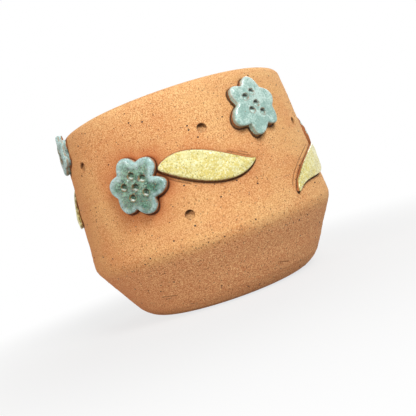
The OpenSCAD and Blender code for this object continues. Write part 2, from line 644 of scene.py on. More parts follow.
@dataclass(frozen=True)
class ClayFinish:
    """Bare buff stoneware with sandy grog, seen on the body and on the tiles' cut sides."""

    buff: tuple = screen(227, 173, 112)
    orange: tuple = screen(219, 153, 95)
    browner: tuple = screen(209, 140, 94)
    flashed: tuple = screen(182, 95, 50)
    pale_grain: tuple = screen(252, 216, 158)
    dark_grain: tuple = screen(164, 98, 54)
    grit: tuple = screen(96, 54, 34)
    shade: tuple = screen(38, 19, 14)
    below_belly: tuple[float, float] = (30.5, 25.0)
    below_crease: tuple[float, float] = (30.0, 24.0)
    over_crease: tuple[float, float] = (24.0, 34.0)
    towards_lip: tuple[float, float] = (84.0, 99.0)
    patch_size: float = 24.0
    coarse_size: float = 16.0
    speckle_size: float = 0.42
    grog_pitch: float = 1.25
    grit_pitch: float = 1.1
    grain_pitch: float = 0.9
    grain_depth: float = 0.09
    roughness: float = 0.86
    shine: float = 0.28

    def colour(self, graph: ShaderGraph) -> Signal:
        """Make the clay's colour.

        Args:
            graph: The material's graph.

        Returns:
            The colour.
        """
        height = graph.height()
        patches = graph.noise(self.patch_size, 3.0).step(0.43, 0.7)
        body = graph.mix(patches, self.buff, self.orange)
        # Browner below the belly: partly the clay's own colour, partly painted shade on the lower
        # wall, which faces down.
        body = graph.mix(height.step(*self.below_belly) * 0.95, body, self.browner)
        body = graph.mix(height.step(*self.towards_lip) * 0.2, body, self.pale_grain)
        streaks = graph.noise(1.0, 3.0, graph.stretched((0.02, 0.02, 0.5))).step(0.35, 0.7)
        body = graph.mix(streaks * 0.3, body, self.browner)
        speckle = graph.noise(self.speckle_size, 1.0)
        coarse = graph.noise(self.coarse_size, 2.0).step(0.42, 0.62)
        strength = 0.43 + 0.1 * coarse * height.step(*self.over_crease)
        lower = height.step(*self.below_crease)
        pale = speckle.step(0.5, 0.6) * (strength + 0.14 * lower)
        body = graph.mix(pale, body, self.pale_grain)
        body = graph.mix(speckle.step(0.48, 0.38) * strength, body, self.dark_grain)
        gap, number = graph.grains(self.grog_pitch)
        grog = gap.step(0.42, 0.22) * number.step(0.66, 0.72) * (0.45 + 0.25 * lower)
        body = graph.mix(grog, body, self.pale_grain)
        gap, number = graph.grains(self.grit_pitch)
        crease = height.step(19.0, 27.0) * height.step(36.0, 30.0)
        sand = number.step(0.84, 0.88).at_least(number.step(0.64, 0.7) * crease)
        return graph.mix(gap.step(0.44, 0.22) * sand * 0.6, body, self.grit)

    def bumps(self, graph: ShaderGraph) -> Signal:
        """Make the sandy relief.

        Args:
            graph: The material's graph.

        Returns:
            Its height.
        """
        gap, number = graph.grains(self.grain_pitch)
        grains = gap.step(0.4, 0.1) * number
        return graph.noise(0.5, 3.0) * 0.7 + grains * 0.5

    def material(self) -> bpy.types.Material:
        """Build the body's material.

        Returns:
            The material.
        """
        graph = ShaderGraph("buff stoneware")
        flash = graph.attribute("flash")
        pressed = graph.attribute("pressed")
        body = graph.mix(flash * 0.85, self.colour(graph), self.flashed)
        # Painted shade in the pits, grooves and seams, and a painted contact shadow under each
        # tile.
        body = graph.mix(pressed * 0.96, body, self.shade)
        rough = graph.noise(1.4) * 0.12 + self.roughness
        graph.dress(body, rough.at_most(1.0), self.bumps(graph), self.grain_depth)
        graph.feed(graph.shader, {"Specular IOR Level": self.shine})
        return graph.material


@dataclass(frozen=True)
class GlazeFinish:
    """A glaze over the top of a tile, breaking to bare clay down its cut side."""

    name: str
    body: tuple
    deep: tuple
    pale: tuple
    speck: tuple
    broken: tuple
    glint: tuple
    pale_reach: float
    deep_share: float
    speck_pitch: float
    speck_radius: float
    speck_share: float
    edge_specks: float
    edge_break: float
    dust: float
    freckles: float
    run_down: float
    roughness: float
    gloss: float
    orange_peel: float
    cloud_size: float = 3.2
    fleck_size: float = 0.8
    dust_size: float = 0.85
    freckle_size: float = 0.7
    low_reach: float = 9.0
    cut_flash: float = 0.6
    relief_depth: float = 0.16
    shine: float = 0.3
    coat_roughness: float = 0.06
    coat_ior: float = 1.52
    clay: ClayFinish = field(default_factory=ClayFinish)

    def melt(self, graph: ShaderGraph, rim: Signal) -> Signal:
        """Colour the glaze itself: deep clouds, dark dust, a paler rim and pale freckles.

        Args:
            graph: The material's graph.
            rim: Distance from the tile's edge.

        Returns:
            The colour.
        """
        low = graph.attribute("low") * self.run_down
        cloud = graph.noise(self.cloud_size, 3.0)
        flecks = graph.noise(self.fleck_size, 2.0)
        deepness = (cloud * 0.75 + flecks * 0.5 + low).step(0.54, 0.74) * self.deep_share
        colour = graph.mix(deepness, self.body, self.deep)
        dust = graph.noise(self.dust_size, 2.0).step(0.51, 0.57) * (0.6 + 0.4 * deepness)
        colour = graph.mix(dust * self.dust, colour, self.speck)
        wander = graph.wander(2.2) * self.pale_reach + low * self.low_reach
        paleness = (rim + wander).step(self.pale_reach, 0.15)
        paleness = paleness * (0.6 + 0.4 * flecks.step(0.35, 0.6))
        freckles = graph.noise(self.freckle_size, 1.0).step(0.54, 0.66) * self.freckles
        return graph.mix(paleness.at_least(freckles), colour, self.pale)

    def specked(self, graph: ShaderGraph, colour: Signal, rim: Signal) -> Signal:
        """Scatter dark specks, more of them at the rim, and rusty dots.

        Args:
            graph: The material's graph.
            colour: The glaze's colour.
            rim: Distance from the tile's edge.

        Returns:
            The colour with its specks.
        """
        gap, number = graph.grains(self.speck_pitch)
        near_rim = (rim + graph.wander(4.0) * 3.0).step(2.4, 0.4) * self.edge_specks
        shown = number.step(1.0 - self.speck_share, 1.02 - self.speck_share)
        shown = shown.at_least(number.step(0.3, 0.4) * near_rim)
        specks = gap.step(self.speck_radius, self.speck_radius * 0.4) * shown
        colour = graph.mix(specks * 0.85, colour, self.speck)
        gap, number = graph.grains(self.speck_pitch * 0.8)
        dots = gap.step(0.3, 0.12) * number.step(0.78, 0.82)
        return graph.mix(dots * 0.7, colour, self.broken)

    def broken_edges_and_dimple_light(self, graph: ShaderGraph, colour: Signal, rim: Signal) -> Signal:
        """Break the glaze at the rim and the dimples' lips, and paint shade and a glint into each
        dimple.

        Args:
            graph: The material's graph.
            colour: The glaze's colour.
            rim: Distance from the tile's edge.

        Returns:
            The colour with its broken edges and dimples.
        """
        thin = (rim + graph.wander(0.9) * 0.5).step(0.34, 0.02)
        edge = thin * self.edge_break * graph.noise(3.0).step(0.35, 0.55)
        lip = graph.attribute("dimple_lip") * graph.noise(0.9).step(0.38, 0.58) * 0.75
        colour = graph.mix(edge.at_least(lip), colour, self.broken)
        # Painted shade on the upper side of each dimple, and a painted glint on its lower side.
        colour = graph.mix(graph.attribute("dimple") * 0.95, colour, self.clay.shade)
        return graph.mix(graph.attribute("painted_glint") * 0.9, colour, self.glint)

    def material(self) -> bpy.types.Material:
        """Build the glaze's material.

        Returns:
            The material.
        """
        graph = ShaderGraph(self.name)
        rim = graph.attribute("rim")
        side = graph.attribute("side")
        colour = self.specked(graph, self.melt(graph, rim), rim)
        colour = self.broken_edges_and_dimple_light(graph, colour, rim)
        bare = (graph.attribute("bare") + graph.wander(1.6) * 0.5).step(0.35, 0.65)
        cut = graph.mix(self.cut_flash, self.clay.colour(graph), self.clay.flashed)
        colour = graph.mix(bare, colour, cut)
        # Painted shade at the foot of every side where it meets the wall, and down bare sides,
        # partly burnt clay.
        darkness = graph.attribute("burnt") + 0.35 * side.step(0.3, 1.0)
        seam = side.step(0.78, 1.0).at_least(bare * darkness)
        colour = graph.mix(seam * 0.9, colour, self.clay.shade)
        rough = bare * (self.clay.roughness - self.roughness) + self.roughness
        rough = rough + graph.wander(1.2) * 0.08
        relief = graph.noise(1.8, 1.0) * self.orange_peel
        relief = relief + graph.noise(0.45, 2.0) * 0.25 * (bare + 0.25)
        graph.dress(colour, rough, relief, self.relief_depth)
        inputs = {
            "Specular IOR Level": self.shine,
            "Coat Weight": (1.0 - bare) * self.gloss,
            "Coat Roughness": self.coat_roughness,
            "Coat IOR": self.coat_ior,
        }
        graph.feed(graph.shader, inputs)
        return graph.material


class Glaze(Enum):
    """Glazes on this pot."""

    MOTTLED_TEAL = GlazeFinish(
        name="mottled teal glaze",
        body=screen(108, 154, 129),
        deep=screen(36, 92, 66),
        pale=screen(180, 211, 212),
        speck=screen(22, 52, 42),
        broken=screen(158, 112, 58),
        glint=screen(226, 236, 228),
        pale_reach=4.6,
        deep_share=0.9,
        speck_pitch=1.05,
        speck_radius=0.32,
        speck_share=0.5,
        edge_specks=0.15,
        edge_break=0.6,
        dust=0.95,
        freckles=0.16,
        run_down=0.15,
        roughness=0.36,
        gloss=0.3,
        orange_peel=0.5,
    )
    PALE_TURQUOISE = GlazeFinish(
        name="pale turquoise glaze",
        body=screen(191, 218, 209),
        deep=screen(124, 167, 157),
        pale=screen(192, 211, 207),
        speck=screen(70, 96, 76),
        broken=screen(150, 96, 56),
        glint=screen(206, 222, 216),
        pale_reach=1.0,
        deep_share=0.7,
        speck_pitch=1.5,
        speck_radius=0.24,
        speck_share=0.2,
        edge_specks=0.4,
        edge_break=0.45,
        dust=0.24,
        freckles=0.14,
        run_down=0.1,
        roughness=0.3,
        gloss=0.6,
        orange_peel=0.6,
    )
    SPECKLED_YELLOW = GlazeFinish(
        name="speckled yellow glaze",
        body=screen(228, 222, 158),
        deep=screen(216, 199, 104),
        pale=screen(243, 244, 210),
        speck=screen(90, 82, 40),
        broken=screen(122, 112, 50),
        glint=screen(238, 238, 200),
        pale_reach=0.35,
        deep_share=0.85,
        speck_pitch=0.95,
        speck_radius=0.3,
        speck_share=0.14,
        edge_specks=1.0,
        edge_break=0.9,
        dust=0.2,
        freckles=0.6,
        run_down=0.04,
        roughness=0.42,
        gloss=0.3,
        orange_peel=0.45,
    )


@dataclass(frozen=True)
class SpeckFinish:
    """Melted iron specks."""

    burnt: tuple = screen(30, 19, 18)
    rust: tuple = screen(74, 38, 24)

    def material(self) -> bpy.types.Material:
        """Build the specks' material.

        Returns:
            The material.
        """
        graph = ShaderGraph("burnt iron")
        tone = graph.noise(4.0, 1.0).step(0.4, 0.62)
        rough = 0.55 + 0.3 * tone
        graph.dress(graph.mix(tone, self.burnt, self.rust), rough, graph.noise(0.2), 0.02)
        return graph.material


@dataclass(frozen=True)
class UpperWall:
    """The outer face of the upper wall, a gently leaning cone that the tiles are laid on."""

    pot_height: float = 98.0
    lip_radius: float = 58.2
    belly_radius: float = 63.0
    belly_height: float = 30.5

    @property
    def rise(self) -> float:
        """Height from the belly to the lip."""
        return self.pot_height - self.belly_height

    def radius(self, height: np.ndarray) -> np.ndarray:
        """Radius of the outer face at a height."""
        slope = (self.lip_radius - self.belly_radius) / self.rise
        return self.belly_radius + slope * (height - self.belly_height)

    def height(self, share: float) -> float:
        """Height of a share of the upper wall, from 0 at the belly to 1 at the lip."""
        return self.belly_height + share * self.rise

    def level(self, depth: np.ndarray) -> np.ndarray:
        """Level width of a layer that is that deep square to the wall."""
        return depth * math.hypot(self.rise, self.belly_radius - self.lip_radius) / self.rise

    def lay(
        self, azimuth: float, middle: float, flat: np.ndarray, depth: np.ndarray
    ) -> np.ndarray:
        """Carry points of a flat drawing to the wall.

        Args:
            azimuth: Azimuth of the drawing's middle, in degrees.
            middle: Height of the drawing's middle.
            flat: Rows of x round the pot and y up.
            depth: How far each point stands out of the wall.

        Returns:
            Rows of x, y and z.
        """
        height = middle + flat[:, 1]
        reach = self.radius(height) + self.level(depth)
        out = np.sqrt(reach**2 - flat[:, 0] ** 2)
        turn = math.radians(azimuth)
        x = flat[:, 0] * math.cos(turn) + out * math.sin(turn)
        y = flat[:, 0] * math.sin(turn) - out * math.cos(turn)
        return np.column_stack([x, y, height])

    def flatten(self, azimuth: float, middle: float, places: np.ndarray) -> np.ndarray:
        """Read points as x round the pot and y up from a drawing's middle.

        Args:
            azimuth: Azimuth of the drawing's middle, in degrees.
            middle: Height of the drawing's middle.
            places: Rows of x, y and z.

        Returns:
            Rows of x and y, where x is FAR for points behind the pot's axis.
        """
        turn = math.radians(azimuth)
        x = places[:, 0] * math.cos(turn) + places[:, 1] * math.sin(turn)
        out = places[:, 0] * math.sin(turn) - places[:, 1] * math.cos(turn)
        return np.column_stack([np.where(out > 0, x, FAR), places[:, 2] - middle])


WALL = UpperWall()


@dataclass
class Tile:
    """A slab of clay cut to an outline, pushed onto the wall and glazed."""

    name: str
    azimuth: float
    height_share: float
    turn: float
    glaze: Glaze
    slot: Slot
    thickness: float = 3.4
    edge_width: float = 1.4
    edge_drop: float = 1.2
    sunk: float = 0.35
    top_rings: int = 56
    side_rings: int = 6
    tuck: float = 0.45
    # The painted shadow under the tile is its outline, moved this far to the left and down.
    shelter: tuple[float, float] = (0.25, 0.55)
    # How far the glaze runs down the side, and how that wanders.
    glaze_run: float = 1.5
    run_size: float = 9.0
    run_share: float = 0.3
    run_end: float = 0.3
    # How dark the bare side is painted: painted shade on a side turned from the light, partly
    # burnt clay.
    burnt: float = 0.12
    # Strength and reach of the flashed clay round the tile.
    halo: float = 0.8
    halo_reach: float = 3.4
    seed: int = 1

    @property
    def middle(self) -> float:
        """Height of the tile's middle."""
        return WALL.height(self.height_share)

    def outline(self) -> np.ndarray:
        """Outline as rows of x and y, anticlockwise."""
        raise NotImplementedError

    def core(self, outline: np.ndarray) -> np.ndarray:
        """Inner point that each outline point's ring closes on."""
        return np.zeros_like(outline)

    def gap(self, places: np.ndarray, line: np.ndarray | None = None) -> np.ndarray:
        """Measure how far points of the wall are from the tile's edge.

        Args:
            places: Rows of x, y and z.
            line: Another line of the tile's drawing to measure from.

        Returns:
            One distance for each point, FAR where it is nowhere near.
        """
        flat = WALL.flatten(self.azimuth, self.middle, places)
        near = np.all(np.abs(flat) < FAR / 2, axis=1)
        result = np.full(len(places), FAR)
        closed = line is None
        measured = self.outline()[::OUTLINE_STEP] if closed else line
        result[near] = distance_to_line(flat[near], measured, closed)
        return result

    def relief(self, flat: np.ndarray, rim: np.ndarray) -> tuple[np.ndarray, dict]:
        """Height of the top over its rounded edge, and the attributes that go with it.

        Args:
            flat: Rows of x and y.
            rim: Distance of each from the outline.

        Returns:
            The heights, and the attributes by name.
        """
        raise NotImplementedError

    def crown(self, rim: np.ndarray) -> np.ndarray:
        """Height of the top from its rounded edge alone.

        Args:
            rim: Distance from the outline.

        Returns:
            The heights over the wall.
        """
        inward = np.clip(rim / self.edge_width, 0.0, 1.0)
        return self.thickness - self.edge_drop * (1 - np.sqrt(1 - (1 - inward) ** 2.2))

    def colouring(self, flat: np.ndarray, side: np.ndarray, rim: np.ndarray) -> dict:
        """Work out the attributes that the glaze's colour follows.

        Args:
            flat: Rows of x and y.
            side: How far down the tile's side each point is, from 0 to 1.
            rim: Distance of each point from the edge.

        Returns:
            The attributes by name.
        """
        down = np.where(side > 0, side * self.thickness, -rim)
        wander = Unevenness(self.seed + RUN_SEED, self.run_size, self.thickness * self.run_share)
        run = np.maximum(self.glaze_run + wander.at(flat), min(self.glaze_run, self.run_end))
        half = np.abs(self.outline()[:, 1]).max()
        return {
            "rim": rim,
            "side": side,
            "bare": smooth_step(-self.run_end, self.run_end, down - run),
            "burnt": np.full(len(flat), self.burnt),
            "low": smooth_step(0.8, -0.8, flat[:, 1] / half),
        }

    def build(self) -> bpy.types.Object:
        """Build the closed tile.

        Returns:
            Its object.
        """
        outline = self.outline()
        core = self.core(outline)
        count = len(outline)
        shares = (1 - np.linspace(0, 1, self.top_rings)) ** 0.9
        top = np.concatenate([core + (outline - core) * share for share in shares])
        rim = distance_to_line(top, outline, closed=True)
        rim[:count] = 0.0
        height, pressed = self.relief(top, rim)
        start = height[:count]
        length = np.linalg.norm(outline - core, axis=1)[:, None]
        outward = (outline - core) / np.maximum(length, 0.2)
        layers = [(top, height, np.zeros(len(top)), rim)]
        for ring in range(1, self.side_rings + 1):
            share = ring / self.side_rings
            line = outline - outward * (self.tuck * math.sin(share * math.pi / 2))
            depth = start * (1 - share) - self.sunk * share
            layers.append((line, depth, np.full(count, share), start * share))
        foot = layers[-1][0]
        under = (np.full(count, -self.sunk), np.ones(count), np.zeros(count))
        layers += [(core + (foot - core) * share, *under) for share in (0.5, 0.0)]
        flat, depth, side, rim = (np.concatenate(parts) for parts in zip(*layers))
        order = [*reversed(range(self.top_rings)), *range(self.top_rings, len(flat) // count)]
        places = WALL.lay(self.azimuth, self.middle, flat, depth)
        piece = make_object("glazed_" + self.name, places, ring_faces(order, count))
        for name, values in {**self.colouring(flat, side, rim), **pressed}.items():
            add_attribute(piece, name, np.pad(values, (0, len(flat) - len(values))))
        mend_mesh(piece, 0.002)
        return piece

    def dress(self, piece: bpy.types.Object, materials: dict[Glaze, bpy.types.Material]) -> None:
        """Glaze the tile and put it in the place of its solid.

        Args:
            piece: The tile's object.
            materials: The glazes' materials.
        """
        piece.data.materials.append(materials[self.glaze])
        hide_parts(self.name)
        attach(piece, BODY)
        LOG.info("%s: %d faces", self.name, len(piece.data.polygons))


class Dimples(Enum):
    """Patterns of the dimples, as shares of the flower's reach: round the pot, then up."""

    RING = ((0.0, 0.0), (-0.04, 0.38), (0.30, 0.20), (-0.39, 0.12), (0.30, -0.25), (-0.19, -0.28))
    LOOSE = ((0.06, 0.44), (-0.24, 0.32), (0.09, 0.05), (-0.17, -0.13), (0.22, -0.26))


@dataclass(frozen=True)
class Petals:
    """How six petals come out of the clay: shares of the reach, and leans in degrees."""

    tips: tuple[float, ...]
    dips: tuple[float, ...]
    leans: tuple[float, ...]
    narrowness: float = 1.5
    dip_leans: tuple[float, ...] = (0.0,) * PETAL_COUNT

    @classmethod
    def drawn(cls, seed: int, dip_share: float) -> "Petals":
        """Draw the small differences between six petals.

        Args:
            seed: Seed of the draw.
            dip_share: Share of the reach that is left between two petals.

        Returns:
            The petals.
        """
        draw = np.random.default_rng(seed)
        tips = tuple(1 - draw.uniform(0.0, 0.07, PETAL_COUNT))
        dips = tuple(dip_share + draw.uniform(-0.03, 0.03, PETAL_COUNT))
        return cls(tips, dips, tuple(draw.uniform(-4.0, 4.0, PETAL_COUNT)))

    def share(self, angle: np.ndarray) -> np.ndarray:
        """Share of the reach at angles counted on from the first petal, in degrees."""
        step = 360 / PETAL_COUNT
        petals = enumerate(zip(self.leans, self.tips))
        knots = [(k * step + lean, tip) for k, (lean, tip) in petals]
        between = [(k + 0.5) * step + lean for k, lean in enumerate(self.dip_leans)]
        dips = list(zip(between, self.dips))
        stops = sorted([(a, r, True) for a, r in knots] + [(a, r, False) for a, r in dips])
        first, last = stops[0], stops[-1]
        stops = [(last[0] - 360, *last[1:]), *stops, (first[0] + 360, *first[1:])]
        turned = (angle - stops[0][0]) % 360 + stops[0][0]
        result = np.zeros_like(turned)
        for (start, near, is_tip), (end, other, _) in zip(stops, stops[1:]):
            inside = (turned >= start) & (turned < end)
            way = (turned[inside] - start) / (end - start)
            way = way if is_tip else 1 - way
            tip, dip = (near, other) if is_tip else (other, near)
            result[inside] = dip + (tip - dip) * np.cos(way * math.pi / 2) ** self.narrowness
        return result


BROAD_PETALS = Petals(
    tips=(0.995, 1.015, 1.01, 0.91, 0.955, 0.99),
    dips=(0.765, 0.775, 0.77, 0.67, 0.68, 0.61),
    leans=(-4.0, -2.0, -6.0, -4.0, 3.0, 2.0),
    narrowness=1.05,
    dip_leans=(-4.0, -3.0, -8.0, -5.0, -3.0, -5.0),
)
STARRY_PETALS = Petals(
    tips=(0.985, 0.975, 0.93, 0.96, 0.97, 0.975),
    dips=(0.75, 0.725, 0.585, 0.67, 0.715, 0.79),
    leans=(-6.0, 4.0, -7.0, 8.0, -2.0, -2.0),
    narrowness=1.4,
    dip_leans=(-2.0, -1.0, -5.0, 7.0, 5.0, 0.0),
)
WIDE_PETALS = Petals(
    tips=(0.96, 0.97, 0.98, 1.06, 1.1, 1.0),
    dips=(0.75, 0.79, 0.94, 0.95, 0.85, 0.75),
    leans=(0.0, 3.0, 4.0, 8.0, -8.0, -10.0),
    narrowness=0.8,
)


@dataclass
class Flower(Tile):
    """A six-petalled flower with pushed-in dimples."""

    slot: Slot = Slot.BLUE
    reach: float = 13.8
    dip_share: float = 0.74
    petals: Petals | None = None
    corner_round: float = 0.45
    spin: float = 0.0
    dimples: Dimples = Dimples.RING
    dimple_radius: float = 1.5
    dimple_depth: float = 1.4
    dimple_lip: float = 0.12
    # The lip's crest, as a share of the dimple's radius.
    lip_share: float = 1.12
    lip_width: float = 0.3
    lip_colour_width: float = 0.34
    unevenness: tuple[float, float] = (8.0, 0.22)
    # Side of each dimple that gets a painted glint; the other side gets painted shade.
    glint_side: tuple[float, float] = (-0.45, -0.9)
    corners: int = 240

    def outline(self) -> np.ndarray:
        """Outline of the petals."""
        petals = self.petals or Petals.drawn(self.seed, self.dip_share)
        angle = np.linspace(0.0, 360.0, self.corners, endpoint=False)
        radius = self.reach * petals.share(angle - self.turn)
        turn = np.radians(angle)
        unit = np.column_stack([np.cos(turn), np.sin(turn)])
        return soften(unit * radius[:, None], self.corner_round)

    @property
    def away_from_glint(self) -> np.ndarray:
        """Direction from the painted glint in a dimple to its painted shade."""
        return -np.array(self.glint_side) / math.hypot(*self.glint_side)

    def dimple_places(self) -> np.ndarray:
        """Middles of the dimples, as rows of x and y."""
        return turned(np.array(self.dimples.value), self.spin) * self.reach

    def relief(self, flat: np.ndarray, rim: np.ndarray) -> tuple[np.ndarray, dict]:
        """Soft pillow with dimples, which keep a raised lip."""
        uneven = Unevenness(self.seed, *self.unevenness).at(flat)
        height = self.crown(rim) + uneven * smooth_step(0.0, 2.5, rim)
        dimple, painted_glint, lip = np.zeros((3, len(flat)))
        radius = self.dimple_radius
        for place in self.dimple_places():
            gap = np.linalg.norm(flat - place, axis=1)
            height -= self.dimple_depth * np.clip(1 - (gap / radius) ** 2, 0.0, 1.0) ** 0.6
            height += self.dimple_lip * bell(gap - radius * self.lip_share, self.lip_width)
            # Masks for the painted glint on one side of the dimple and the painted shade on the
            # other.
            upward = (flat - place) @ self.away_from_glint / radius
            inside = smooth_step(1.0, 0.8, gap / radius)
            painted_glint = np.maximum(painted_glint, inside * smooth_step(-0.35, -0.7, upward))
            dimple = np.maximum(dimple, inside * smooth_step(0.1, 0.6, upward))
            lip = np.maximum(lip, bell(gap - radius, self.lip_colour_width))
        return height, {"dimple": dimple, "dimple_lip": lip, "painted_glint": painted_glint}


@dataclass
class Leaf(Tile):
    """A curved leaf with a soft ridge."""

    slot: Slot = Slot.YELLOW
    thickness: float = 1.9
    edge_width: float = 1.1
    edge_drop: float = 0.8
    glaze_run: float = 0.85
    burnt: float = 0.5
    halo: float = 0.55
    top_rings: int = 30
    length: float = 43.5
    breadth: float = 15.0
    upper_handles: tuple = ((0.25, 1.03), (0.90, -0.20))
    lower_handles: tuple = ((0.36, -0.60), (0.83, -0.86))
    edge_points: int = 130
    end_round: float = 0.9
    stalk_round: float = 1.3
    ridge: float = 0.28
    ridge_width: float = 2.2
    unevenness: tuple[float, float] = (10.0, 0.2)

    def edge(self, handles: tuple, share: np.ndarray) -> np.ndarray:
        """One edge of the leaf as a curve from its stalk to its tip.

        Args:
            handles: The curve's two handles, in lengths and breadths.
            share: Places along the curve, from 0 to 1.

        Returns:
            Rows of lengths and breadths.
        """
        first, second = np.array(handles)
        rest = 1 - share[:, None]
        along = share[:, None]
        curve = 3 * along * rest**2 * first + 3 * along**2 * rest * second
        return curve + along**3 * np.array([1.0, 0.0])

    def edges(self) -> list[np.ndarray]:
        """Lower and upper edge, each from the stalk to the tip, as evenly spaced points."""
        share = np.linspace(0, 1, self.edge_points)
        size = [self.length, self.breadth]
        lines = []
        for handles in (self.lower_handles, self.upper_handles):
            drawing = self.edge(handles, share) * size - [self.length / 2, 0]
            lines.append(spread_evenly(turned(drawing, self.turn), self.edge_points))
        return lines

    def outline(self) -> np.ndarray:
        """Outline, from the stalk along the lower edge and back along the upper one."""
        lower, upper = self.edges()
        line = np.concatenate([lower, upper[::-1][1:-1]])
        blunt = soften(line, self.stalk_round)
        fine = soften(line, self.end_round)
        from_stalk = np.linalg.norm(line - line[0], axis=1)[:, None]
        share = smooth_step(self.stalk_round * 3, self.stalk_round * 5, from_stalk)
        return blunt * (1 - share) + fine * share

    def midrib(self) -> np.ndarray:
        """Line between the two edges, from the stalk to the tip."""
        lower, upper = self.edges()
        return (lower + upper) / 2

    def core(self, outline: np.ndarray) -> np.ndarray:
        """Places on the leaf's midrib."""
        middle = self.midrib()
        share = np.linspace(0, 1, self.edge_points)
        inner = np.clip(share, 0.07, 0.93)
        column = np.column_stack([np.interp(inner, share, middle[:, k]) for k in (0, 1)])
        return np.concatenate([column, column[::-1][1:-1]])

    def relief(self, flat: np.ndarray, rim: np.ndarray) -> tuple[np.ndarray, dict]:
        """Soft ridge along the midrib and gentle handmade hollows."""
        gap = distance_to_line(flat, self.midrib(), closed=False)
        ridge = self.ridge * bell(gap, self.ridge_width) * smooth_step(0.3, 3.0, rim)
        uneven = Unevenness(self.seed, *self.unevenness).at(flat)
        return self.crown(rim) + ridge + uneven * smooth_step(0.0, 2.0, rim), {}


@dataclass(frozen=True)
class Score:
    """A fine line that a needle left beside a tile, from share to share of the tile's edge."""

    tile: str
    start: float
    end: float
    away: float
    width: float
    depth: float

    def gap(self, tiles: dict[str, Tile], places: np.ndarray) -> np.ndarray:
        """Measure how far points of the wall are from the line.

        Args:
            tiles: The tiles by name.
            places: Rows of x, y and z.

        Returns:
            One distance for each point.
        """
        outline = tiles[self.tile].outline()
        along = np.roll(outline, -1, axis=0) - np.roll(outline, 1, axis=0)
        outward = np.column_stack([along[:, 1], -along[:, 0]])
        outward /= np.linalg.norm(outward, axis=1)[:, None]
        count = len(outline)
        part = slice(int(self.start * count), int(self.end * count), 2 * OUTLINE_STEP)
        return tiles[self.tile].gap(places, (outline + outward * self.away)[part])


@dataclass(frozen=True)
class Scratch:
    """A short scratch between two places, each an azimuth in degrees and a height.

    The wall beside it is taken as that share of the pot's largest radius.
    """

    start: tuple[float, float]
    end: tuple[float, float]
    width: float
    depth: float
    radius_share: float = 0.85

    def gap(self, tiles: dict[str, Tile], places: np.ndarray) -> np.ndarray:
        """Measure how far points of the wall are from the scratch.

        Args:
            tiles: Not needed, the scratch lies on the bare wall.
            places: Rows of x, y and z.

        Returns:
            One distance for each point.
        """
        radius, turn = around(places)
        middle = math.radians((self.start[0] + self.end[0]) / 2)
        turn = (turn - middle + math.pi) % (2 * math.pi) - math.pi
        reach = float(radius.max()) * self.radius_share
        ends = np.array([self.start, self.end])
        ends[:, 0] = (np.radians(ends[:, 0]) - middle) * reach
        flat = np.column_stack([turn * reach, places[:, 2]])
        return distance_to_line(flat, ends, closed=False)


MARKS = (
    Score("leaf_front", 0.53, 0.66, 1.1, 0.22, 0.2),
    Score("leaf_front", 0.55, 0.62, 2.2, 0.2, 0.14),
    Score("leaf_front", 0.05, 0.17, 1.9, 0.22, 0.12),
    Score("leaf_right", 0.16, 0.47, 1.7, 0.28, 0.3),
    Scratch((-37.3, 11.9), (-28.4, 11.0), 0.2, 0.18),
    Scratch((-36.2, 10.3), (-32.4, 10.4), 0.18, 0.16),
    Scratch((-25.3, 5.0), (-21.2, 4.6), 0.18, 0.16),
    Scratch((26.8, 10.4), (34.4, 8.6), 0.16, 0.14),
    Scratch((118.0, 16.0), (127.0, 14.6), 0.2, 0.16),
    Scratch((-150.0, 8.0), (-143.0, 8.8), 0.2, 0.16),
)


